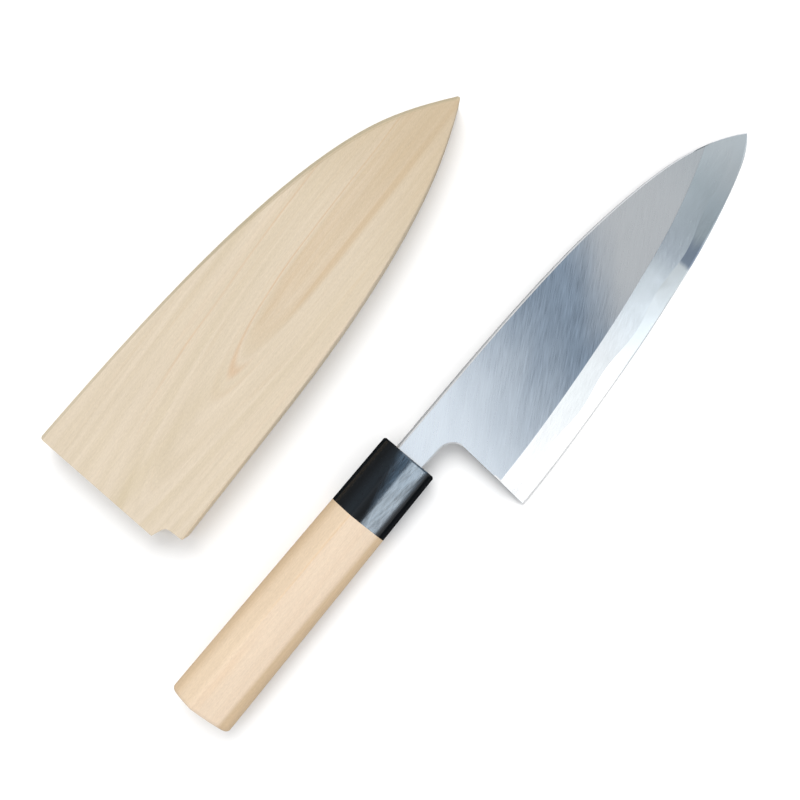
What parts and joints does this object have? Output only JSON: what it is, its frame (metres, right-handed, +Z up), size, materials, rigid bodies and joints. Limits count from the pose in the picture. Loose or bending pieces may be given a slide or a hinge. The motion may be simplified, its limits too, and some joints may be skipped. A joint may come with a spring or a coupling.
{
  "type": "deba knife with wooden saya",
  "caption": "Thick single-bevel fish knife with a laminated blade, horn ferrule and D-shaped wooden handle, lying beside its open wooden sheath.",
  "frame": {"origin": "centre of the bounding box of knife and saya, on the table that both lie on", "axes": "+X along the knife from butt to tip, +Y from the knife towards its saya, on the spine side, +Z up out of the table, with the bevelled right side of the blade up"},
  "size_m": [0.3326, 0.1712, 0.0242],
  "materials": {
    "soft_iron": "soft iron, brushed slantwise to a satin",
    "edge_steel": "hard steel, stone ground, finer and darker than the iron",
    "horn": "black water buffalo horn, polished",
    "handle_wood": "bare magnolia, sanded",
    "saya_wood": "bare magnolia, planed and sanded"
  },
  "bodies": {
    "knife": {"blade_iron": "soft_iron", "edge_steel": "edge_steel", "horn_ferrule": "horn", "magnolia_handle": "handle_wood"},
    "saya": {"saya_front_board": "saya_wood", "saya_back_board": "saya_wood"}
  },
  "joints": [
    {"name": "saya_slide", "type": "slide", "parent": "knife", "child": "saya", "axis": [0.9995, -0.0314, 0], "range_m": [0, 0.2]}
  ]
}
